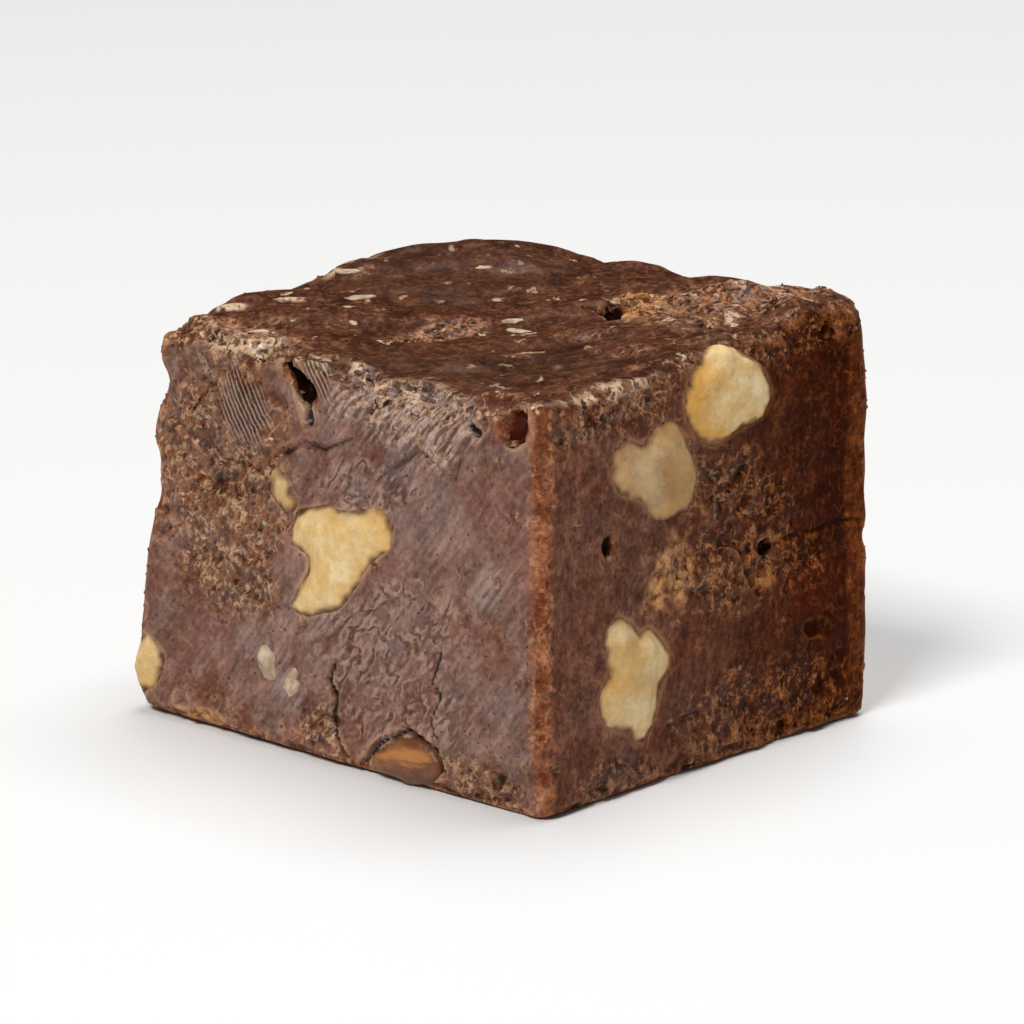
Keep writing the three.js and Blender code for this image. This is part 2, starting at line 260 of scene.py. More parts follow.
# How ragged the zones' rims are, where they fade, and how squarely a point has to face their side
RIM_RAGGED = 0.26
FINE_RIM_RAGGED = 0.2
ZONE_FADE = (1.15, 0.55)
ZONE_FACING = (0.3, 0.7)

# Cracks: side, half width and depth in mm, and points across and up
CRACKS = [
    ("front", 0.25, 0.5, [(-0.1, 7.1), (-0.6, 5.9), (0.1, 4.9), (-0.2, 3.3), (0.6, 1.9), (1.3, 0.8)]),
    ("front", 0.25, 0.3, [(9.8, 9.9), (8.9, 7.6), (9.8, 6.9), (8.8, 4.8), (9.4, 3.8)]),
    ("front", 0.38, 0.5, [(2.5, 0.1), (4.3, 2.5), (6.8, 3.8), (9.4, 3.0), (10.3, 1.6)]),
    ("right", 0.3, 0.25, [(6.0, 14.1), (7.6, 14.8), (10.7, 14.7), (13.3, 14.9), (15.6, 14.5)]),
    ("right", 0.25, 0.15, [(4.6, 17.1), (6.0, 16.1), (7.9, 14.9)]),
    ("right", 0.25, 0.25, [(-4.4, 3.8), (-2.8, 4.1), (-1.1, 4.1)]),
    ("front", 0.25, 0.2, [(2.9, 20.5), (6.8, 23.2), (10.5, 21.9), (10.9, 23.8), (11.6, 25.0)]),
    ("front", 0.3, 0.25, [(-6.6, 20.6), (-4.3, 21.8), (-2.4, 21.6), (0.6, 23.0)]),
    ("front", 0.75, 0.9, [(-6.6, 27.0), (-5.5, 25.4), (-4.6, 24.2), (-4.2, 23.4)]),
    ("front", 0.4, 0.6, [(11.4, 25.7), (12.2, 25.3)]),
    ("top", 0.4, 0.5, [(3.6, 4.5), (4.5, 4.9), (5.2, 5.0)]),
    ("top", 0.9, 0.9, [(6.5, 4.5), (4.7, 6.4)]),
    ("back", 0.3, 0.6, [(-3.0, 1.0), (-2.2, 3.2), (-3.1, 5.0), (-2.4, 7.5)]),
    ("left", 0.3, 0.4, [(4.5, 14.5), (5.2, 12.4), (7.0, 11.6), (7.6, 9.8)]),
]

# Half width of a crack's floor and how far its course wanders, in mm
CRACK_FLOOR = 0.05
CRACK_WANDER = 0.3

# How much more painted shade a crack and a pit get than a shallow hollow
CRACK_GLOOM = 0.35
PIT_GLOOM = 0.17

# Chips of nut: side, place across and up, half length, half width, tilt
PALE_CHIPS = [
    ("front", -6.7, 5.7, 1.3, 0.95, -62),
    ("front", -4.2, 4.8, 1.25, 0.8, 76),
    ("top", 1.7, -0.2, 1.2, 0.35, 10),
    ("top", 0.4, 0.9, 0.9, 0.3, 50),
    ("top", -15.7, 1.0, 0.9, 0.35, 35),
    ("top", -11.2, -2.3, 1.1, 0.4, 48),
    ("top", -12.4, -11.4, 0.8, 0.3, 40),
    ("top", -8.2, 7.1, 0.7, 0.3, 44),
    ("back", 6.0, 20.0, 0.9, 0.5, 30),
    ("back", -12.0, 4.0, 0.7, 0.5, -20),
    ("left", 0.0, 7.0, 0.9, 0.5, 50),
]
TAN_CHIPS = [
    ("top", 7.4, 4.7, 0.45, 0.35, 20),
    ("top", 6.9, 5.8, 0.5, 0.4, 75),
    ("top", 7.8, 6.4, 0.5, 0.4, 130),
    ("top", 6.2, 7.6, 0.55, 0.45, 40),
    ("top", 5.5, 8.6, 0.45, 0.35, 60),
    ("right", -3.2, 15.7, 0.7, 0.3, 55),
    ("right", -4.8, 13.9, 0.8, 0.35, 52),
    ("front", -12.6, 0.9, 1.9, 0.4, -4),
    ("back", 3.0, 25.0, 1.0, 0.6, 40),
]


# Meshes

def solid_of(node):
    """A copy of one solid of the frame in millimetres, its loose triangles merged."""
    mesh = bmesh.new()
    mesh.from_mesh(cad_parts[node].data)
    bmesh.ops.scale(mesh, vec=Vector((1 / MM,) * 3), verts=mesh.verts)
    bmesh.ops.remove_doubles(mesh, verts=mesh.verts, dist=WELD)
    return mesh


def filled_kernel(node):
    """A kernel's solid with its walls pressed out to its pocket, so that no gap shows round it."""
    mesh = solid_of(node)
    for vert in mesh.verts:
        wall, _, _, gap = fudge_walls.find_nearest(vert.co)
        if 0 < gap < POCKET_REACH:
            vert.co += (wall - vert.co) * (1 + PRESS / gap)
    return mesh


def object_of(mesh, name):
    """An object in the scene that holds a bmesh, which is used up."""
    data = bpy.data.meshes.new(name)
    mesh.to_mesh(data)
    mesh.free()
    thing = bpy.data.objects.new(name, data)
    bpy.context.scene.collection.objects.link(thing)
    return thing


def evened(mesh, cell):
    """The space inside a bmesh as an even mesh of small quads, without inner shells."""
    uneven = object_of(mesh, "uneven")
    remesh = uneven.modifiers.new("even", "REMESH")
    remesh.mode = "VOXEL"
    remesh.voxel_size = cell
    even = bmesh.new()
    even.from_object(uneven, bpy.context.evaluated_depsgraph_get())
    bpy.data.objects.remove(uneven)
    keep_outer_shell(even)
    return even


def keep_outer_shell(mesh):
    """Deletes all but the largest connected shell."""
    unseen = set(mesh.verts)
    shells = []
    while unseen:
        shell = [unseen.pop()]
        for vert in shell:
            for edge in vert.link_edges:
                other = edge.other_vert(vert)
                if other in unseen:
                    unseen.remove(other)
                    shell.append(other)
        shells.append(shell)
    shells.sort(key=len)
    inner = [vert for shell in shells[:-1] for vert in shell]
    bmesh.ops.delete(mesh, geom=inner, context="VERTS")


def links_of(mesh):
    """The pairs of points that an edge joins."""
    mesh.verts.index_update()
    return np.array([[vert.index for vert in edge.verts] for edge in mesh.edges])


def evened_out(values, links, rounds, chosen=1.0):
    """Rows of values of the points, each drawn halfway to its neighbours' mean in every round."""
    ends = np.concatenate([links, links[:, ::-1]])
    neighbours = np.bincount(ends[:, 0], minlength=len(values))
    for _ in range(rounds):
        sums = [np.bincount(ends[:, 0], column[ends[:, 1]], len(values)) for column in values.T]
        means = (np.array(sums) / neighbours).T
        values = values + 0.5 * chosen * (means - values)
    return values


def spread(values, links, rounds):
    """Numbers of the points, evened out over their neighbours."""
    return evened_out(values[:, None], links, rounds)[:, 0]


def points_of(mesh):
    return np.array([vert.co for vert in mesh.verts])


def move_points(mesh, points):
    for vert, point in zip(mesh.verts, points.tolist()):
        vert.co = point


def smooth(mesh, rounds):
    """Evens out a mesh by drawing each point towards its neighbours."""
    move_points(mesh, evened_out(points_of(mesh), links_of(mesh), rounds))


def normals_of(mesh):
    mesh.normal_update()
    return np.array([vert.normal for vert in mesh.verts])


def raise_skin(mesh, points, normals, relief):
    """Moves the points out along their normals by a relief in mm, but not out of the CAD box."""
    move_points(mesh, np.clip(points + normals * relief[:, None], LOW, HIGH))


def hollows_of(mesh, rounds):
    """How far each point lies below its surroundings, in mm; negative on ridges."""
    points = points_of(mesh)
    even = evened_out(points, links_of(mesh), rounds)
    return np.einsum("ij,ij->i", even - points, normals_of(mesh))


def store(mesh, fields):
    """Keeps numbers or vectors of the points as layers, which become the piece's attributes."""
    for name, values in fields.items():
        layers = mesh.verts.layers.float if values.ndim == 1 else mesh.verts.layers.float_vector
        layer = layers.new(name)
        for vert, value in zip(mesh.verts, values.tolist()):
            vert[layer] = value


def finished(mesh, name, finish, nodes=(), soft=True):
    """A piece made of a bmesh that rides on the root, and stands for nodes where any are named."""
    bmesh.ops.scale(mesh, vec=Vector((MM,) * 3), verts=mesh.verts)
    for face in mesh.faces:
        face.smooth = soft
    piece = object_of(mesh, name)
    piece.data.materials.append(finish)
    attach(piece, "root")
    if nodes:
        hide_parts(*nodes)


# Patterns on points in millimetres

def ramp(low, high, value):
    """0 up to low and 1 from high on, with a smooth rise between; falls where high is below low."""
    share = np.clip((value - low) / (high - low), 0, 1)
    return share * share * (3 - 2 * share)


def bumps(points, kind):
    """Smooth unevenness from -1 to 1 with the bumps of a pattern."""
    places = points / PATTERNS[kind] + BUMP_STEP * LAYERS[kind]
    return np.array([noise.noise(place) for place in places.tolist()])


def broken(points, kind):
    """Height in mm of a pattern's broken faces, each tilted its own way."""
    size = PATTERNS[kind]
    heights = []
    for point in (points / size + BROKEN_STEP * LAYERS[kind]).tolist():
        centre = noise.voronoi(point)[1][0]
        tilt = noise.noise_vector(centre * TILT_STEP)
        heights.append(size * tilt.dot(Vector(point) - centre))
    return np.array(heights)


def facing_of(normals):
    """How much each point faces each side, 0 to 1."""
    return {side: np.clip(normals @ np.array(out), 0, 1) for side, (_, _, out) in AXES.items()}


def zone(kind, points, facing, warp):
    """1 inside the zones of a kind, 0 outside, with a ragged rim that follows warp."""
    cover = np.zeros(len(points))
    for side, across, up, half_length, half_width, tilt in ZONES[kind]:
        sideways = points @ np.array(AXES[side][0]) - across
        upwards = points @ np.array(AXES[side][1]) - up
        turn = math.radians(tilt)
        along = (math.cos(turn) * sideways + math.sin(turn) * upwards) / half_length
        beside = (math.cos(turn) * upwards - math.sin(turn) * sideways) / half_width
        reach = np.hypot(along, beside) + warp
        cover = np.maximum(cover, ramp(*ZONE_FACING, facing[side]) * ramp(*ZONE_FADE, reach))
    return cover


def drag_of(points, facing):
    """Each point's place along the drag of its side, beside it and outwards, in mm."""
    order = list(AXES)
    best = np.argmax(np.array([facing[side] for side in order]), axis=0)
    drag = np.zeros_like(points)
    for index, side in enumerate(order):
        across, up, out = (np.array(axis, float) for axis in AXES[side])
        turn = math.radians(DRAG[side])
        along = math.cos(turn) * across + math.sin(turn) * up
        beside = math.cos(turn) * up - math.sin(turn) * across
        on_side = best == index
        drag[on_side] = points[on_side] @ np.array([along, beside, out]).T
    return drag


def seam_of(links, facing):
    """1 where two sides with their own drags meet."""
    best = np.argmax(np.array(list(facing.values())), axis=0)
    meeting = links[best[links[:, 0]] != best[links[:, 1]]]
    seam = np.zeros(len(best))
    seam[meeting.ravel()] = 1.0
    return ramp(0.02, 0.2, spread(seam, links, SEAM_SPREAD))


# Nodes of a finish

def paint(code):
    """A colour's code, such as #5c3a2b, as the linear colour that a shader takes."""
    parts = [int(code[i : i + 2], 16) / 255 for i in (1, 3, 5)]
    return tuple(p / 12.92 if p <= 0.04045 else ((p + 0.055) / 1.055) ** 2.4 for p in parts) + (1.0,)


class Tone:
    """A socket of a finish that Python's operators work on."""

    def __init__(self, finish, socket):
        self.finish = finish
        self.socket = socket

    def maths(self, operation, first, second):
        return self.finish.add("Math", {"operation": operation}, {0: first, 1: second})

    def __add__(self, other):
        return self.maths("ADD", self, other)

    def __radd__(self, other):
        return self.maths("ADD", other, self)

    def __sub__(self, other):
        return self.maths("SUBTRACT", self, other)

    def __rsub__(self, other):
        return self.maths("SUBTRACT", other, self)

    def __mul__(self, other):
        return self.maths("MULTIPLY", self, other)

    def __rmul__(self, other):
        return self.maths("MULTIPLY", other, self)

    def size(self):
        """The value without its sign."""
        return self.finish.add("Math", {"operation": "ABSOLUTE"}, {0: self})

    def sister(self, output):
        """Another output of the same node."""
        return Tone(self.finish, self.socket.node.outputs[output])

    def between(self, low, high):
        """0 up to low and 1 from high on, with a smooth rise between."""
        limits = {"Value": self, "From Min": low, "From Max": high}
        return self.finish.add("MapRange", {"interpolation_type": "SMOOTHSTEP"}, limits)


class Finish:
    """A material whose nodes are added one by one and feed its one shader."""

    def __init__(self, name, gloss=0.5):
        self.material = bpy.data.materials.new(name)
        self.material.use_nodes = True
        self.tree = self.material.node_tree
        self.shader = self.tree.nodes["Principled BSDF"]
        self.shader.inputs["Specular IOR Level"].default_value = gloss
        self.place = self.add("TexCoord", output="Object")

    def add(self, kind, settings=None, inputs=None, output=0):
        """A node of a kind with its settings made and its inputs set or linked; gives one output."""
        node = self.tree.nodes.new("ShaderNode" + kind)
        for name, value in (settings or {}).items():
            setattr(node, name, value)
        for name, value in (inputs or {}).items():
            self.feed(node.inputs[name], value)
        return Tone(self, node.outputs[output])

    def feed(self, socket, value):
        """Links a tone to a socket, or sets the socket to a number, a vector or a colour's code."""
        if isinstance(value, Tone):
            self.tree.links.new(value.socket, socket)
        else:
            socket.default_value = paint(value) if isinstance(value, str) else value

    def field(self, name, output="Fac"):
        """A field of the piece's mesh."""
        return self.add("Attribute", {"attribute_name": name}, output=output)

    def vector(self, operation, first, second, output="Vector"):
        return self.add("VectorMath", {"operation": operation}, {0: first, 1: second}, output)

    def speckle(self, size, detail=2.0, place=None):
        """Soft noise from 0 to 1 with spots about size mm wide."""
        inputs = {"Vector": place or self.place, "Scale": 1 / (size * MM), "Detail": detail}
        return self.add("TexNoise", {}, inputs)

    def squiggles(self, size, place=None):
        """Broken winding lines about half of size mm apart: 0 on a line, about 0.2 between two."""
        inputs = {"Vector": place or self.place, "Scale": 1 / (size * MM), "Detail": 3.0, "Distortion": 0.35}
        return (self.add("TexNoise", {}, inputs) - 0.5).size()

    def warped(self, size, amount, place=None):
        """A place pushed about by up to amount mm in swirls about size mm wide."""
        push = self.speckle(size).sister("Color")
        centred = self.vector("SUBTRACT", push, (0.5, 0.5, 0.5))
        swirl = self.vector("MULTIPLY", centred, (2 * amount * MM,) * 3)
        return self.vector("ADD", place or self.place, swirl)

    def cells(self, size, place):
        """Distance to the nearest of scattered points about size mm apart, from 0 to about 1."""
        return self.add("TexVoronoi", {}, {"Vector": place, "Scale": 1 / (size * MM)}, "Distance")

    def facets(self, cell, place):
        """Height in mm of broken faces, one for each cell, each tilted its own way."""
        offset = self.vector("SUBTRACT", place, cell.sister("Position"))
        tilt = self.vector("SUBTRACT", cell.sister("Color"), (0.5, 0.5, 0.5))
        return self.vector("DOT_PRODUCT", offset, tilt, "Value") * (1 / MM)

    def chance(self, cell):
        """A random number from 0 to 1 for each cell."""
        return self.add("SeparateColor", {}, {"Color": cell.sister("Color")}, "Red")

    def drawn(self, stretch):
        """The place in the drag's frame, on which a pattern is drawn out stretch times along the drag."""
        return self.vector("MULTIPLY", self.field("drag", "Vector"), (MM / stretch, MM, MM))

    def streaks(self, length, width, detail=3.0):
        """Noise drawn out along the drag of each side, from 0 to 1; length and width in mm."""
        return self.speckle(width, detail, self.drawn(length / width))

    def waves(self, across, spacing, shift):
        """Even ridges from -1 to 1, spacing mm apart, across a direction of the drag's frame."""
        place = self.vector("DOT_PRODUCT", self.field("drag", "Vector"), across, "Value")
        phase = place * (2 * math.pi / spacing) + shift
        return self.add("Math", {"operation": "SINE"}, {0: phase})

    def mix(self, share, first, second):
        """First colour where share is 0 and second where it is 1."""
        return self.add("Mix", {"data_type": "RGBA"}, {0: share, 6: first, 7: second}, output=2)

    def shade(self, colour, strength):
        """A colour made darker or lighter by a strength of about 1."""
        settings = {"data_type": "RGBA", "blend_type": "MULTIPLY"}
        return self.add("Mix", settings, {0: 1.0, 6: colour, 7: strength}, output=2)

    def coat(self, colour, roughness, height):
        """Feeds the shader: its colour, its roughness and its fine relief in mm."""
        self.feed(self.shader.inputs["Base Color"], colour)
        self.feed(self.shader.inputs["Roughness"], roughness)
        bump = self.add("Bump", {}, {"Strength": 1.0, "Distance": MM, "Height": height})
        self.feed(self.shader.inputs["Normal"], bump)
        return self.material


# Ridges in the film, in mm, and the lean of the comb's teeth in the drag's frame
COMB_SPACING = 0.29
COMB_LEAN = (0.671, -0.255, -0.696)
RIPPLE_SPACING = 0.6
RIPPLE_LEAN = (0.0, 1.0, 0.0)

# Colours of the block's places; pairs are the deep and the light tone of one place
CHOCOLATE = ("#5a2b18", "#74412a")
# Darker chocolate for the far end of the right side: painted shade
CHOCOLATE_IN_PAINTED_SHADE = ("#361307", "#46190a")
SPREAD_TOP = ("#402012", "#583120")
GLOSSY_TOP = ("#3e2113", "#563421")
# Film of the cut: a greyish tone that is partly real film and partly painted sheen
CUT_FILM_AND_SHEEN = ("#755044", "#946f64")
FILM_WISP = "#673f2e"
FILM_RED = "#7d4a40"
FILM_GREY = "#806d65"
FILM_BLUISH = "#6d5f5e"
CRUMB = ("#5a2a14", "#8f5030")
CRUMB_LIGHT = "#ad6f45"
CRUMB_ON_TOP = "#bd9478"
# Painted light and painted shade of lumps in the torn film
PAINTED_LUMP_HIGHLIGHT = "#a3744f"
PAINTED_LUMP_SHADE = "#4c2412"
DUST = ("#856353", "#c2a69c")
WORN_EDGE = ("#7b4228", "#a8694a")
RUDDY = "#662a15"
HUSK = ("#8a5030", "#d09a66")

# Colours of the block's fine marks; many of them are painted highlights and painted shade
SMUDGE = "#b3a298"
# Light tones of painted highlights on crests, flakes, pit rims and ridges
PAINTED_HIGHLIGHT = ("#cb8f63", "#e0b58c")
# Highlight tone at the far end of the right side: a painted highlight within painted shade
PAINTED_HIGHLIGHT_AT_SHADED_END = "#b27345"
# Painted shade in the gaps between flakes and ridges
PAINTED_GAP_SHADE = "#2c150b"
# Painted shade in the film's ripple troughs and a painted highlight on their ridges
PAINTED_RIPPLE_SHADE = "#4b2e24"
PAINTED_RIPPLE_HIGHLIGHT = "#c09c8a"
# Painted shade in the film's creases and a painted highlight on their banks
PAINTED_CREASE_SHADE = "#45281e"
PAINTED_CREASE_HIGHLIGHT = "#c6a592"
# Painted shade in small pores
PAINTED_PORE_SHADE = "#3a2018"
# Cream glints on the top: painted highlights
PAINTED_GLINT = "#e2c4a4"
# Painted highlight on the raised lips along the upper edges
PAINTED_LIP_HIGHLIGHT = "#dcbb9a"
# Painted shade in the mesh's hollows
PAINTED_HOLLOW_SHADE = "#2a150c"
# Painted shade inside pits and cracks, redder in the ruddy zones
PAINTED_PIT_SHADE = ("#26120a", "#54200f")
# Tint multiplied into the far end of the right side: painted shade
PAINTED_SHADE_TINT = ("#ffffff", "#eacb95")
# Painted highlight on the comb's ridges and painted shade in its grooves
PAINTED_COMB_HIGHLIGHT = "#b79a86"
PAINTED_COMB_SHADE = "#321b10"

# Colours of the nuts and the crumbs
FLESH = ("#e0b877", "#f0d7a6")
RIPE_FLESH = "#dba452"
DULL_FLESH = "#98693f"
# Painted shade in the kernels' hollows
PAINTED_FLESH_SHADE = "#8a5a30"
FUDGE_SMEAR = ("#4e2d1c", "#8a6248")
BROWN_SKIN = ("#6c3c1f", "#9c6238")
SKIN_VEIN = "#c98646"
SKIN_SHADE = "#6b3b1b"
# Painted shade at the rim of a skinned kernel
PAINTED_SKIN_RIM_SHADE = "#5a2f17"
LOOSE_CRUMB = ("#4f2a18", "#9a6a4a")
NUT_SPECK = ("#b98f60", "#dcc49d")
PALE_CHIP = ("#b0947a", "#d8c2a4")
TAN_CHIP = ("#96602f", "#d8a062")

FUDGE_FIELDS = [
    "film", "torn", "worn", "pale", "gloss", "bluish", "hollow", "sunken", "skin", "comb", "wrinkles",
    "smudge", "flat_top", "brink", "dusk", "ruddy", "lip", "rim", "seam",
]


def fudge_marks(finish):
    """The block's fields and the patterns of its finish, by name."""
    on = SimpleNamespace(**{name: finish.field(name) for name in FUDGE_FIELDS})
    drawn = 1 - on.seam
    on.bare = 1 - on.film
    on.mottle = finish.speckle(2.4, 3.0)
    on.patch = on.mottle.between(0.35, 0.65)
    on.blotch = finish.speckle(0.9, 3.0)
    on.grit = finish.speckle(0.36, 3.0)
    on.fine = finish.speckle(0.12, 2.0)
    on.fleck = finish.speckle(1.5, 2.0)
    on.tint = finish.speckle(4.5, 2.0)
    on.lumps = finish.speckle(2.0, 2.0)
    on.wisp = finish.streaks(7.0, 2.2, 2.0)
    on.streak = 0.5 + drawn * (finish.streaks(3.2, 0.34, 2.0) - 0.5)
    on.curl = finish.squiggles(0.95)
    on.ridge = on.curl.between(0.16, 0.0)
    on.crest = on.curl.between(0.06, 0.0) * on.blotch.between(0.45, 0.6)
    on.crease = finish.squiggles(1.4, finish.drawn(1.7))
    bend = 16.0 * finish.speckle(3.2) + (1.5 + 6.0 * on.wrinkles) * on.blotch
    on.ripple = finish.waves(RIPPLE_LEAN, RIPPLE_SPACING, bend)
    on.teeth = finish.waves(COMB_LEAN, COMB_SPACING, on.grit)
    swirl = finish.warped(0.9, 0.28)
    on.large, on.small = finish.cells(1.1, swirl), finish.cells(0.4, swirl)
    on.faces = finish.facets(on.large, swirl) + finish.facets(on.small, swirl)
    on.pore = on.small.between(0.3, 0.15) * finish.chance(on.small).between(0.85, 0.9)
    scale = finish.cells(0.45, finish.warped(0.5, 0.3, finish.drawn(1.5)))
    on.flake = drawn * scale.between(0.6, 0.3) * finish.chance(scale).between(0.62, 0.8)
    on.gap = drawn * scale.between(0.6, 0.3) * finish.chance(scale).between(0.38, 0.2)
    on.ragged = on.torn * (0.7 + 0.6 * on.mottle)
    on.rippled = drawn * on.film * (0.25 + 0.75 * on.wrinkles) * on.blotch.between(0.35, 0.55)
    on.brushed = (1 - on.torn) * (0.3 + 0.6 * on.film * (1 - 0.5 * on.wrinkles) - 0.1 * on.flat_top)
    on.rough = 0.1 + 0.1 * on.bare * (1 - on.gloss) + 0.7 * on.torn + 0.35 * on.worn
    on.rough = on.rough + 0.4 * on.pale + 0.3 * on.brink
    # Painted glints: scattered cream spots of light on the top, fewer on its gloss zones
    on.glint = (on.fleck + 0.08 * on.torn).between(0.66, 0.71) * on.grit.between(0.35, 0.5)
    on.glint = on.glint * on.flat_top * (1 - 0.6 * on.gloss)
    return on


def fudge_places(finish, on):
    """Colour of the block's places: cut sides, spread top, film with painted sheen, torn crumb with painted
    light and shade on its lumps, worn edges and husk, and painted shade at the far end of the right side.
    """
    chocolate = finish.mix(on.patch, *CHOCOLATE)
    # Painted shade: the chocolate darkens towards the far end of the right side
    chocolate = finish.mix(on.dusk * 0.9, chocolate, finish.mix(on.patch, *CHOCOLATE_IN_PAINTED_SHADE))
    top = finish.mix(on.gloss * 0.8, finish.mix(on.patch, *SPREAD_TOP), finish.mix(on.patch, *GLOSSY_TOP))
    film = finish.mix(on.wisp.between(0.48, 0.66) * 0.7, finish.mix(on.patch, *CUT_FILM_AND_SHEEN), FILM_WISP)
    film = finish.mix(on.tint.between(0.5, 0.66) * 0.45, film, FILM_RED)
    film = finish.mix(on.tint.between(0.5, 0.36) * 0.4, film, FILM_GREY)
    crumb = finish.mix(finish.chance(on.large).between(0.1, 0.9), *CRUMB)
    crumb = finish.mix(finish.chance(on.small).between(0.3, 0.9) * 0.4, crumb, CRUMB_LIGHT)
    dust = finish.mix(on.streak.between(0.4, 0.6), *DUST)
    husk = finish.mix(on.blotch.between(0.35, 0.6), *HUSK)

    colour = finish.mix(on.flat_top, chocolate, top)
    colour = finish.mix(on.film, colour, film)
    colour = finish.mix(on.bluish * 0.6, colour, FILM_BLUISH)
    colour = finish.mix(on.ragged * (0.2 + 0.8 * on.film + 0.7 * on.flat_top), colour, crumb)
    # Painted light and painted shade of lumps in the torn film, set by noise
    colour = finish.mix(on.ragged * on.film * on.lumps.between(0.5, 0.64) * 0.5, colour, PAINTED_LUMP_HIGHLIGHT)
    colour = finish.mix(on.ragged * on.film * on.lumps.between(0.48, 0.36) * 0.5, colour, PAINTED_LUMP_SHADE)
    colour = finish.mix(on.ragged * on.flat_top * on.grit.between(0.4, 0.6) * 0.5, colour, CRUMB_ON_TOP)
    colour = finish.mix(on.pale * on.grit.between(0.25, 0.45), colour, dust)
    colour = finish.mix(on.worn * 0.9, colour, finish.mix(on.patch, *WORN_EDGE))
    colour = finish.mix(on.ruddy * 0.45, colour, RUDDY)
    colour = finish.mix(on.skin * on.blotch.between(0.2, 0.45) * 0.9, colour, husk)
    grain = 1.0 + (1.2 + on.bare) * (on.grit - 0.5) + (0.7 + 0.5 * on.bare) * (on.fine - 0.5)
    grain = grain + (0.4 + 0.7 * on.bare) * (on.blotch - 0.5) + 1.3 * on.brushed * (on.streak - 0.5)
    return finish.shade(colour, grain)


def with_fudge_marks(finish, on, colour):
    """The colour of the block's places with its fine marks, painted highlights, painted shade in its gaps,
    creases, pores, hollows and pits, and painted shade at the far end of the right side.
    """
    # Tone of the painted highlights, lighter on the film and at the upper edges
    crest = finish.mix(on.film + on.brink, *PAINTED_HIGHLIGHT)
    crest = finish.mix(on.dusk * 0.7, crest, PAINTED_HIGHLIGHT_AT_SHADED_END)
    bank = on.crease.between(0.03, 0.07) * on.crease.between(0.13, 0.09)

    colour = finish.mix(on.smudge * on.streak.between(0.35, 0.65) * 0.4, colour, SMUDGE)
    # Painted shade in gaps between flakes and in the valleys between ridges of rough crumb
    colour = finish.mix((on.gap + 0.5 * (1 - on.ridge)) * on.rough * 0.85, colour, PAINTED_GAP_SHADE)
    # Painted highlights on flakes and crest lines of the rough crumb
    colour = finish.mix((0.55 * on.flake + 0.9 * on.crest) * on.rough, colour, crest)
    # Painted shade in ripple troughs and a painted highlight on ripple ridges
    colour = finish.mix(on.ripple.between(0.1, -0.8) * on.rippled * 0.3, colour, PAINTED_RIPPLE_SHADE)
    colour = finish.mix(on.ripple.between(0.4, 1.0) * on.rippled * 0.2, colour, PAINTED_RIPPLE_HIGHLIGHT)
    # Painted shade in creases and a painted highlight on their banks
    colour = finish.mix(on.crease.between(0.04, 0.0) * on.rippled * 0.7, colour, PAINTED_CREASE_SHADE)
    colour = finish.mix(bank * on.rippled * 0.4, colour, PAINTED_CREASE_HIGHLIGHT)
    # Painted shade in pores, stronger on the film
    colour = finish.mix(on.pore * (0.2 + 0.5 * on.film), colour, PAINTED_PORE_SHADE)
    # Painted highlight: cream glints on the top
    colour = finish.mix(on.glint * 0.85, colour, PAINTED_GLINT)
    # Painted highlight in cream lines along the lips
    colour = finish.mix(on.lip * on.curl.between(0.14, 0.03), colour, PAINTED_LIP_HIGHLIGHT)
    # Painted highlight in a ring round the deep pits
    colour = finish.mix(on.rim * on.grit.between(0.35, 0.6) * 0.5, colour, crest)
    # Painted shade darkens the mesh's hollows
    colour = finish.mix(on.hollow.between(0.05, 0.25), colour, PAINTED_HOLLOW_SHADE)
    # Painted highlight on ridges of the mesh, weaker on the top
    colour = finish.mix((0.4 - 0.32 * on.flat_top) * on.hollow.between(-0.03, -0.14), colour, crest)
    # Painted shade in pits and cracks, weaker in torn crumb
    painted_pit_shade = finish.mix(on.ruddy, *PAINTED_PIT_SHADE)
    colour = finish.mix((on.sunken - 0.3 * on.torn).between(0.08, 0.4), colour, painted_pit_shade)
    # Painted shade: a darker, warmer tint over the far end of the right side
    colour = finish.shade(colour, finish.mix(on.dusk, *PAINTED_SHADE_TINT))
    # Painted highlight on comb ridges and painted shade in comb grooves
    colour = finish.mix(on.comb * on.teeth.between(0.1, 0.9) * 0.75, colour, PAINTED_COMB_HIGHLIGHT)
    return finish.mix(on.comb * on.teeth.between(-0.1, -0.9) * 0.8, colour, PAINTED_COMB_SHADE)


def fudge_grain(on):
    """Relief of the block in mm that is finer than its mesh."""
    height = 0.07 * on.grit + 0.03 * on.fine + 0.06 * on.brushed * on.streak + 0.08 * on.glint
    height = height + on.rippled * (0.03 * on.ripple + 0.06 * on.crease.between(0.0, 0.08))
    height = height + on.comb * 0.08 * on.teeth - 0.1 * on.pore
    height = height + on.rough * (0.1 * on.ridge + 0.15 * on.flake - 0.15 * on.gap)
    return height + (on.ragged + 0.4 * on.pale + 0.2 * on.worn) * 0.4 * on.faces


def fudge_finish():
    """Set chocolate: film of the cut with painted sheen, torn crumb, worn edges and the glossy spread top,
    with painted highlights and painted shade in its marks.
    """
    finish = Finish("chocolate fudge", gloss=0.02)
    on = fudge_marks(finish)
    colour = with_fudge_marks(finish, on, fudge_places(finish, on))
    roughness = 0.5 + 0.1 * on.torn + 0.3 * (on.grit - 0.5)
    shine = 0.03 * (1 - on.dusk) + 0.3 * on.film + 0.25 * on.torn * (1 - on.dusk)
    shine = shine + 0.12 * on.gloss + 0.3 * on.lip
    finish.feed(finish.shader.inputs["Coat Roughness"], 0.25)
    finish.feed(finish.shader.inputs["Coat Weight"], shine)
    return finish.coat(colour, roughness, fudge_grain(on))


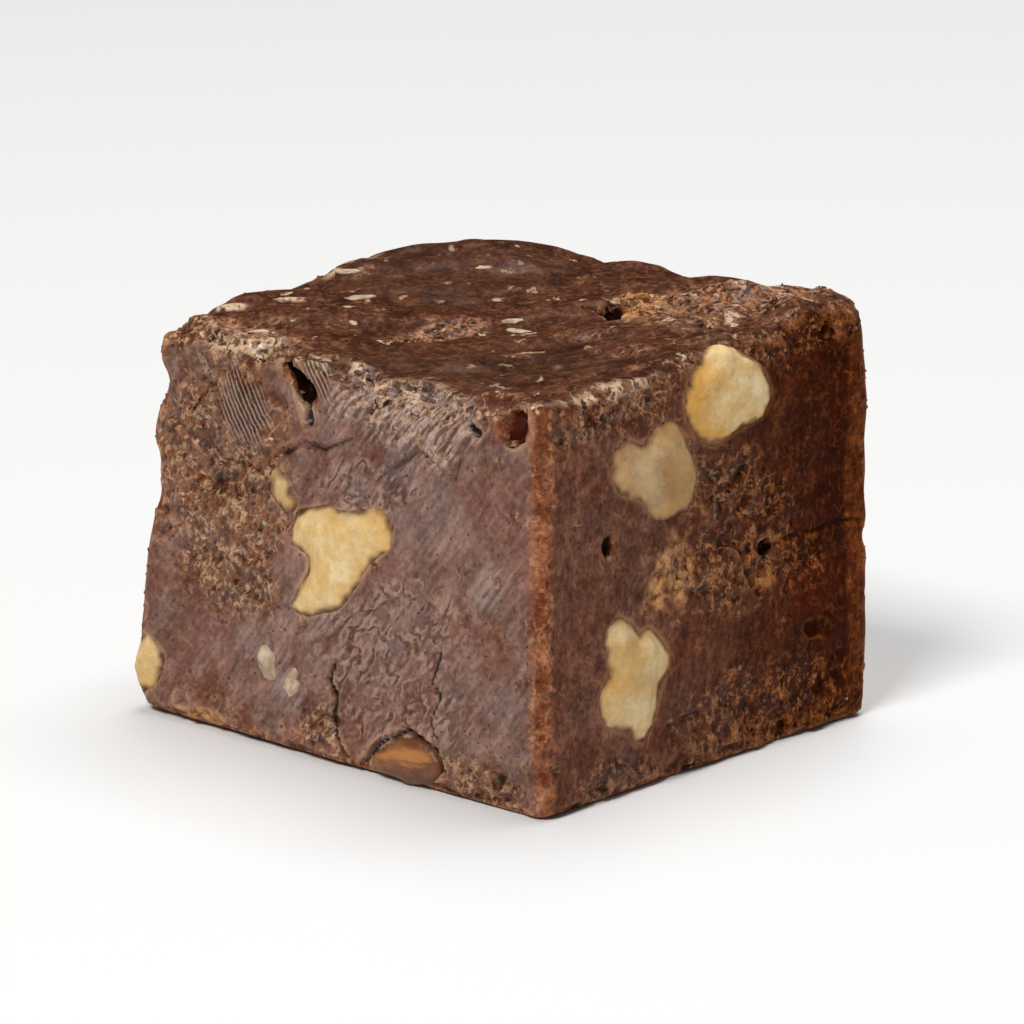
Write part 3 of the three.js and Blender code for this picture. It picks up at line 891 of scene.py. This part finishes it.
def kernel_finish():
    """Broken walnut flesh: cream, in places orange or dull, with painted shade in its hollows and fudge
    smeared over its rim.
    """
    finish = Finish("walnut kernel", gloss=0.2)
    rim_smear_and_shade, hollow = finish.field("rim_smear_and_shade"), finish.field("hollow")
    dull, ripe = finish.field("dull"), finish.field("ripe")
    patch = finish.speckle(3.0, 3.0)
    blush = finish.speckle(2.2, 2.0)
    grit = finish.speckle(0.5, 3.0)
    fine = finish.speckle(0.15, 2.0)
    colour = finish.mix(patch.between(0.35, 0.65), *FLESH)
    colour = finish.mix(blush.between(0.5, 0.7) * 0.4 + ripe, colour, RIPE_FLESH)
    colour = finish.mix(dull, colour, DULL_FLESH)
    # Painted shade in the flesh's hollows
    colour = finish.mix(hollow.between(0.03, 0.16) * 0.4, colour, PAINTED_FLESH_SHADE)
    colour = finish.shade(colour, 1.0 + 0.5 * (grit - 0.5) + 0.3 * (fine - 0.5))
    colour = finish.mix(rim_smear_and_shade, colour, finish.mix(grit.between(0.3, 0.7), *FUDGE_SMEAR))
    return finish.coat(colour, 0.5 + 0.2 * grit, 0.07 * grit + 0.03 * fine)


def skin_finish():
    """The brown papery skin of a walnut, veined, a little glossy, with painted shade darkening it towards
    its rim.
    """
    finish = Finish("walnut skin")
    rim_smear_and_shade = finish.field("rim_smear_and_shade")
    patch = finish.speckle(1.8, 3.0)
    grit = finish.speckle(0.4, 3.0)
    vein = finish.speckle(0.9, 2.0, finish.vector("MULTIPLY", finish.place, (0.25, 1.0, 1.0)))
    colour = finish.mix(patch.between(0.3, 0.7), *BROWN_SKIN)
    colour = finish.mix(vein.between(0.5, 0.66) * 0.7, colour, SKIN_VEIN)
    colour = finish.mix(vein.between(0.46, 0.34) * 0.8, colour, SKIN_SHADE)
    # Painted shade darkens the skin towards its rim
    colour = finish.mix(rim_smear_and_shade * 0.8, colour, PAINTED_SKIN_RIM_SHADE)
    return finish.coat(colour, 0.34 + 0.2 * grit, 0.08 * grit)


def crumb_finish():
    """Loose crumbs of the same chocolate, drier and a little paler."""
    finish = Finish("fudge crumb", gloss=0.3)
    grit = finish.speckle(0.9, 3.0)
    fine = finish.speckle(0.15, 2.0)
    colour = finish.mix(grit.between(0.3, 0.7), *LOOSE_CRUMB)
    return finish.coat(colour, 0.5, 0.05 * fine)


def chip_finish(name, tones):
    """Chips of walnut between a deep and a light tone."""
    finish = Finish(name, gloss=0.3)
    patch = finish.speckle(1.0, 3.0)
    fine = finish.speckle(0.15, 2.0)
    colour = finish.mix(patch.between(0.35, 0.65), *tones)
    return finish.coat(colour, 0.5, 0.05 * fine)


# The block

fudge_solid = solid_of("fudge")
fudge_walls = BVHTree.FromBMesh(fudge_solid)


def whole_block():
    """The block as if it had no pockets: its solid and all kernels as one even shell."""
    whole = fudge_solid.copy()
    for node in KERNELS:
        kernel = filled_kernel(node)
        data = bpy.data.meshes.new(node)
        kernel.to_mesh(data)
        kernel.free()
        whole.from_mesh(data)
        bpy.data.meshes.remove(data)
    shell = evened(whole, FUDGE_CELL)
    smooth(shell, FUDGE_SMOOTHING)
    return shell


def off_fudge(points):
    """How far each point lies from the fudge's own surface, in mm: more than 0 above a kernel."""
    return np.array([fudge_walls.find_nearest(p)[3] for p in points.tolist()])


def standing_of(normals):
    """1 where the surface stands upright, 0 where it lies flat."""
    return ramp(0.75, 0.35, np.abs(normals[:, 2]))


def edge_of(normals, facing):
    """1 on the edges between the sides, and between them and the top."""
    blunt = 1 - np.max(np.array(list(facing.values())), axis=0)
    return ramp(0.05, 0.2, blunt) * ramp(0.9, 0.5, -normals[:, 2])


def upright_edge_of(normals):
    """1 on the four upright edges."""
    level = np.hypot(normals[:, 0], normals[:, 1]) + 1e-6
    blunt = 1 - np.max(np.abs(normals[:, :2]), axis=1) / level
    return ramp(0.05, 0.2, blunt) * standing_of(normals)


def round_upright_edges(mesh):
    """Rubs the four upright edges down to a wider rounding."""
    rubbed = upright_edge_of(normals_of(mesh))
    points = evened_out(points_of(mesh), links_of(mesh), EDGE_SMOOTHING, rubbed[:, None])
    move_points(mesh, points)


def cracks_in(points, facing, warp):
    """Depth in mm of the cracks at each point."""
    depth = np.zeros(len(points))
    for side, half_width, deep, course in CRACKS:
        flat = points @ np.array(AXES[side][:2], float).T
        for start, end in zip(course, course[1:]):
            run = np.array(end) - np.array(start)
            share = np.clip((flat - start) @ run / (run @ run), 0, 1)
            apart = np.linalg.norm(flat - start - share[:, None] * run, axis=1)
            apart = np.abs(apart + CRACK_WANDER * warp)
            cut = deep * ramp(half_width, CRACK_FLOOR, apart) * ramp(0.05, 0.5, facing[side])
            depth = np.maximum(depth, cut)
    return depth


def flatten_underside(mesh):
    """Makes the flat underside one face."""
    flat = [face for face in mesh.faces if max(vert.co.z for vert in face.verts) < UNDERSIDE]
    bmesh.ops.dissolve_faces(mesh, faces=flat, use_verts=True)


def measured(mesh):
    """What the block's zones, relief and crumbs depend on at each of its points."""
    skin = SimpleNamespace(points=points_of(mesh), normals=normals_of(mesh), links=links_of(mesh))
    skin.facing = facing_of(skin.normals)
    skin.warp = RIM_RAGGED * bumps(skin.points, "zone rim")
    skin.warp += FINE_RIM_RAGGED * bumps(skin.points, "fine zone rim")
    skin.under = ramp(0.5, 0.9, -skin.normals[:, 2])
    skin.edge = edge_of(skin.normals, skin.facing)
    skin.upper_edge = skin.edge * (1 - standing_of(skin.normals))
    skin.off_fudge = off_fudge(skin.points)
    sag = hollows_of(mesh, PIT_SMOOTHING)
    skin.pit, skin.deep_pit = ramp(0.05, 0.25, sag), ramp(0.3, 0.5, sag)
    skin.upright_edge = upright_edge_of(skin.normals) * (1 - skin.pit)
    return skin


def torn_of(skin, torn_zones, comb):
    """How torn the block is: in its zones, in small spots and along its crumbled upper edges."""
    spots = 0.6 * ramp(0.35, 0.6, bumps(skin.points, "torn spots"))
    torn = np.maximum(torn_zones, spots * (1 - 0.5 * skin.facing["top"]))
    crumbled = skin.upper_edge * ramp(-0.1, 0.3, bumps(skin.points, "crumbled edge"))
    return np.maximum(torn, crumbled) * (1 - 0.8 * comb)


def worn_of(skin, rubbed_zones):
    """How worn the block is: along its upright edges, at its foot and in the rubbed zones."""
    band = spread(skin.upright_edge, skin.links, EDGE_SPREAD) + 0.1 * bumps(skin.points, "worn edge")
    worn = ramp(0.06, 0.3, band) * (1 - skin.pit)
    foot = ramp(2.4, 0.4, skin.points[:, 2] + 1.2 * bumps(skin.points, "worn foot"))
    return np.maximum(np.maximum(worn, 0.7 * foot), 0.6 * rubbed_zones)


def film_and_sheen_of(skin, dusk):
    """How much film the cut left, its grey partly painted sheen; it ends at the edges and towards the far
    end of the right side, where shade is painted.
    """
    film = sum(share * skin.facing[side] ** 2 for side, share in FILM_AND_SHEEN.items())
    return film * (1 - skin.edge) * (1 - dusk) * ramp(-1.0, -0.2, bumps(skin.points, "film"))


def fields_of(skin):
    """The fields of the block that its relief and its finish read."""
    fields = {kind: zone(kind, skin.points, skin.facing, skin.warp) for kind in ZONES}
    fields["drag"] = drag_of(skin.points, skin.facing)
    fields["seam"] = seam_of(skin.links, skin.facing)
    fields["torn"] = torn_of(skin, fields["torn"], fields["comb"])
    fields["worn"] = worn_of(skin, fields.pop("rubbed"))
    # The far end of the right side, where shade is painted into the colour
    fields["dusk"] = skin.facing["right"] ** 2 * ramp(-10.0, 14.0, skin.points[:, 1])
    fields["film"] = film_and_sheen_of(skin, fields["dusk"])
    # Nearness to the upper edges, where painted highlights are lighter and crumb is rougher
    fields["brink"] = ramp(0.05, 0.3, spread(skin.upper_edge, skin.links, EDGE_SPREAD))
    fields["flat_top"] = skin.facing["top"] ** 2
    return fields


def relief_of(skin, fields, cracks):
    """Height in mm of the block's fine relief at each point."""
    points, torn, worn, drag = skin.points, fields["torn"], fields["worn"], fields["drag"]
    coarse = RELIEF["coarse crumb"] * broken(points, "coarse crumb")
    fine = RELIEF["fine crumb"] * broken(points, "fine crumb")
    folds = 1 - 2 * np.abs(bumps(drag / FOLD_SIZE, "folds"))
    strokes = 1 - 2 * np.abs(bumps(drag / STROKE_SIZE, "strokes"))
    chipped = ramp(0.05, 0.5, bumps(points, "chipped edge"))
    pocks = ramp(0.5, 0.62, bumps(points, "pocks")) * ramp(0.1, 0.5, bumps(points, "pocked places"))
    undercut = ramp(1.8, 0.5, points[:, 2]) * ramp(0.0, 0.5, bumps(points, "undercut foot"))
    pocket = ramp(0.1, 0.6, skin.off_fudge + 0.14 * bumps(points, "pocket rim"))

    relief = RELIEF["swell"] * bumps(points, "swell") + RELIEF["dents"] * bumps(points, "dents")
    relief += torn * (1 - 0.6 * skin.upright_edge) * (coarse + fine - RELIEF["torn"])
    relief += RELIEF["lip"] * fields["lip"]
    relief += RELIEF["folds"] * fields["wrinkles"] * (1 - torn) * folds
    relief += RELIEF["strokes"] * skin.facing["top"] * (1 - torn) * strokes
    relief += fields["pale"] * fine
    relief += RELIEF["worn dents"] * worn * bumps(points, "worn dents")
    relief -= RELIEF["chipped edge"] * skin.upper_edge * chipped
    relief -= RELIEF["pocks"] * pocks
    relief -= RELIEF["undercut foot"] * undercut
    relief -= cracks
    relief -= RELIEF["pocket"] * pocket
    return relief * (1 - skin.under)


def make_fudge():
    """The block's piece; gives its measured points, with its final surface and where crumbs lie."""
    mesh = whole_block()
    round_upright_edges(mesh)
    skin = measured(mesh)
    fields = fields_of(skin)
    cracks = cracks_in(skin.points, skin.facing, skin.warp)
    raise_skin(mesh, skin.points, skin.normals, relief_of(skin, fields, cracks))

    gloom = spread(skin.pit, skin.links, SEAM_SPREAD)
    near_pit = spread(skin.deep_pit, skin.links, SEAM_SPREAD)
    # Ring round each deep pit, where a highlight is painted
    fields["rim"] = ramp(0.02, 0.1, near_pit) * ramp(0.5, 0.25, near_pit)
    fields["hollow"] = hollows_of(mesh, HOLLOW_SMOOTHING)
    # Depth of hollows, cracks and pits, which sets how much shade is painted in them
    fields["sunken"] = hollows_of(mesh, PIT_SMOOTHING) + CRACK_GLOOM * cracks + PIT_GLOOM * gloom
    skin.surface, skin.places = BVHTree.FromBMesh(mesh), points_of(mesh)
    skin.crumbly = np.maximum(fields["torn"], 0.5 * skin.edge) * (skin.off_fudge < 0.3)
    skin.crumbly = skin.crumbly * (1 - skin.under) * (1 - gloom)
    skin.husky = fields["skin"] * (1 - gloom) * (1 - skin.facing["right"])
    store(mesh, fields)
    flatten_underside(mesh)
    finished(mesh, "fudge_block", fudge_finish(), ["fudge"])
    return skin


# The kernels

# Share by which each kernel's flesh is dulled and ripened; the hidden sides' kernels are dulled alike
DULLED = {
    "walnut_front_large": 0.0,
    "walnut_front_sliver": 0.4,
    "walnut_left_corner": 0.1,
    "walnut_right_top": 0.0,
    "walnut_right_middle": 0.6,
    "walnut_right_low": 0.15,
}
DULLED_AWAY = 0.2
RIPENED = {"walnut_right_top": 0.85, "walnut_right_low": 0.15, "walnut_back_2": 0.5}
RIPE_RIM = 0.28

# Direction in which a kernel's ripeness fades
RIPENING = np.array([1.0, 1.0, 0.3])

# Kernels that still have their brown skin
SKINNED = ("walnut_front_foot",)


def flesh_relief(points, from_rim):
    """Height in mm of a kernel's broken face, which swells away from its rim."""
    relief = RELIEF["kernel step"] + RELIEF["kernel dome"] * ramp(0.1, 2.0, from_rim)
    relief += RELIEF["kernel planes"] * broken(points, "kernel planes")
    relief += RELIEF["kernel swell"] * bumps(points, "kernel swell")
    relief += RELIEF["kernel dents"] * bumps(points, "kernel dents")
    return relief


def make_kernel(node, flesh, skin):
    """A kernel's piece, with a broken face or a smooth brown skin."""
    skinned = node in SKINNED
    mesh = evened(solid_of(node) if skinned else filled_kernel(node), KERNEL_CELL)
    smooth(mesh, KERNEL_SMOOTHING)
    points, normals = points_of(mesh), normals_of(mesh)
    from_rim = off_fudge(points)
    domed = RELIEF["skin dome"] * ramp(0.0, 2.0, from_rim)
    relief = domed if skinned else flesh_relief(points, from_rim)
    raise_skin(mesh, points, normals, ramp(0.05, 0.6, from_rim) * relief)

    ragged = 0.35 * bumps(points, "fine kernel smear") + 0.25 * bumps(points, "kernel smear")
    aside = (points - points.mean(axis=0)) @ RIPENING
    ripe = RIPENED.get(node, 0.0) * ramp(1.2, -2.0, aside + bumps(points, "ripe kernel"))
    store(mesh, {
        # Near a kernel's rim: smeared fudge on its flesh, painted shade on its skin
        "rim_smear_and_shade": ramp(0.6, 0.1, from_rim + ragged),
        "dull": DULLED.get(node, DULLED_AWAY) * (1 + 0.6 * bumps(points, "dull kernel")),
        "ripe": ripe + RIPE_RIM * ramp(1.3, 0.3, from_rim),
        "hollow": hollows_of(mesh, HOLLOW_SMOOTHING),
    })
    finish, slot = (skin, "walnut_skin") if skinned else (flesh, "walnut_kernel")
    finished(mesh, node.replace("walnut", "kernel"), finish, [node])


# Loose crumbs and specks

# Crumbs, husks and specks: number, smallest and largest radius in mm, and seed of their draws
CRUMBS = (1800, (0.07, 0.3), 7)
HUSKS = (150, (0.1, 0.36), 3)
SPECKS = (60, (0.06, 0.2), 11)
STRAY_CRUMBS = 0.002

# Shape of lumps and chips, as shares of their radius or thickness
LUMP_STRETCH = ((0.6, 1.5), (0.6, 1.2), (0.5, 0.9))
LUMP_JITTER = 0.28
LUMP_SUNK = 0.25
LUMP_MARGIN = 2
CHIP_THICK = 0.7
CHIP_SUNK = 0.45
CHIP_JITTER = 0.45

# Bumps along a chip's half length, and distance in mm from which a chip is dropped on the block
CHIP_RAGGED = 1.5
CHIP_DROP = 60.0


def scatter(heap, weights, count, radii, seed):
    """Adds small ragged lumps half sunk in the block, more of them where the weights are high."""
    draw = random.Random(seed)
    for index in draw.choices(range(len(weights)), weights=weights.tolist(), k=count):
        radius = radii[0] + (radii[1] - radii[0]) * draw.random() ** 2
        lump = bmesh.ops.create_icosphere(heap, subdivisions=1, radius=radius)["verts"]
        stretch = Vector([draw.uniform(*span) for span in LUMP_STRETCH])
        bmesh.ops.scale(heap, vec=stretch, verts=lump)
        for vert in lump:
            push = Vector([draw.uniform(-1, 1) for _ in range(3)])
            vert.co += push * LUMP_JITTER * radius
        out = block.normals[index]
        bmesh.ops.rotate(heap, matrix=Vector(out).to_track_quat("Z", "Y").to_matrix(), verts=lump)
        margin = LUMP_MARGIN * radius
        place = np.clip(block.places[index] - LUMP_SUNK * radius * out, LOW + margin, HIGH - margin)
        bmesh.ops.translate(heap, vec=Vector(place), verts=lump)


def embedded(rows):
    """Flat ragged chips sunk in the block's surface, one for each row."""
    heap = bmesh.new()
    for side, across, up, half_length, half_width, tilt in rows:
        chip = bmesh.ops.create_icosphere(heap, subdivisions=3, radius=1.0)["verts"]
        for vert in chip:
            shift = noise.noise_vector(vert.co * CHIP_RAGGED + Vector((across, up, tilt)))
            vert.co += shift * CHIP_JITTER
        thick = CHIP_THICK * half_width
        bmesh.ops.scale(heap, vec=Vector((half_length, half_width, thick)), verts=chip)
        bmesh.ops.rotate(heap, matrix=Matrix.Rotation(math.radians(tilt), 3, "Z"), verts=chip)
        sideways, upwards, out = (Vector(axis) for axis in AXES[side])
        bmesh.ops.rotate(heap, matrix=Matrix((sideways, upwards, out)).transposed(), verts=chip)
        outside = across * sideways + up * upwards + CHIP_DROP * out
        place = block.surface.ray_cast(outside, -out)[0]
        bmesh.ops.translate(heap, vec=place - CHIP_SUNK * thick * out, verts=chip)
    return heap


block = make_fudge()
flesh_finish, brown_finish = kernel_finish(), skin_finish()
for kernel_node in KERNELS:
    make_kernel(kernel_node, flesh_finish, brown_finish)

crumbs, specks, tan_chips, pale_chips = bmesh.new(), bmesh.new(), embedded(TAN_CHIPS), embedded(PALE_CHIPS)
scatter(crumbs, block.crumbly + STRAY_CRUMBS, *CRUMBS)
scatter(specks, block.crumbly ** 2, *SPECKS)
scatter(tan_chips, block.husky, *HUSKS)
cream = chip_finish("walnut speck", NUT_SPECK)
pale_nut = chip_finish("pale walnut chip", PALE_CHIP)
tan = chip_finish("tan walnut chip", TAN_CHIP)
finished(crumbs, "fudge_crumbs", crumb_finish(), soft=False)
finished(specks, "walnut_specks", cream, soft=False)
finished(pale_chips, "pale_walnut_chips", pale_nut)
finished(tan_chips, "tan_walnut_chips", tan, soft=False)


# Floor, light and camera

# Sizes and places in metres, power in watts
FLOOR_HALF = 2.0
FLOOR_COLOUR = "#f8f8f7"
FLOOR_ROUGHNESS = 0.6
LAMPS = {
    "main softbox": {"place": (0.15, -0.68, 0.9), "size": 0.35, "power": 8.0},
    "overhead softbox": {"place": (-0.05, 0.3, 0.95), "size": 0.7, "power": 6.0},
}
SKY_STRENGTH = 0.12
VIEW_AZIMUTH = math.radians(42.3)
VIEW_ELEVATION = math.radians(15.2)
VIEW_DISTANCE = 0.4
VIEW_TARGET = Vector((0.04, 0.97, 14.35)) * MM
LENS = 200
CLIP_START = 0.01


def make_floor():
    """The pale floor."""
    mesh = bmesh.new()
    bmesh.ops.create_grid(mesh, x_segments=1, y_segments=1, size=FLOOR_HALF)
    floor = object_of(mesh, "floor")
    white = Finish("pale floor")
    white.feed(white.shader.inputs["Base Color"], FLOOR_COLOUR)
    white.feed(white.shader.inputs["Roughness"], FLOOR_ROUGHNESS)
    floor.data.materials.append(white.material)


def make_lamp(name, place, size, power):
    """A square soft lamp that shines at the piece."""
    lamp = bpy.data.objects.new(name, bpy.data.lights.new(name, "AREA"))
    lamp.data.size = size
    lamp.data.energy = power
    lamp.location = place
    lamp.rotation_euler = (VIEW_TARGET - Vector(place)).to_track_quat("-Z", "Y").to_euler()
    bpy.context.scene.collection.objects.link(lamp)


def make_sky():
    """White light from all around."""
    world = bpy.data.worlds.new("studio")
    world.use_nodes = True
    sky = world.node_tree.nodes["Background"]
    sky.inputs["Color"].default_value = (1, 1, 1, 1)
    sky.inputs["Strength"].default_value = SKY_STRENGTH
    bpy.context.scene.world = world


def make_camera():
    """The camera, which sees the front and the right side from a little above."""
    camera = bpy.data.objects.new("camera", bpy.data.cameras.new("camera"))
    back = Vector((math.sin(VIEW_AZIMUTH), -math.cos(VIEW_AZIMUTH), math.tan(VIEW_ELEVATION))).normalized()
    camera.location = VIEW_TARGET + back * VIEW_DISTANCE
    camera.rotation_euler = (-back).to_track_quat("-Z", "Y").to_euler()
    camera.data.lens = LENS
    camera.data.clip_start = CLIP_START
    bpy.context.scene.collection.objects.link(camera)
    bpy.context.scene.camera = camera


make_floor()
for lamp_name, lamp_values in LAMPS.items():
    make_lamp(lamp_name, **lamp_values)
make_sky()
make_camera()
bpy.context.scene.view_settings.view_transform = "Standard"
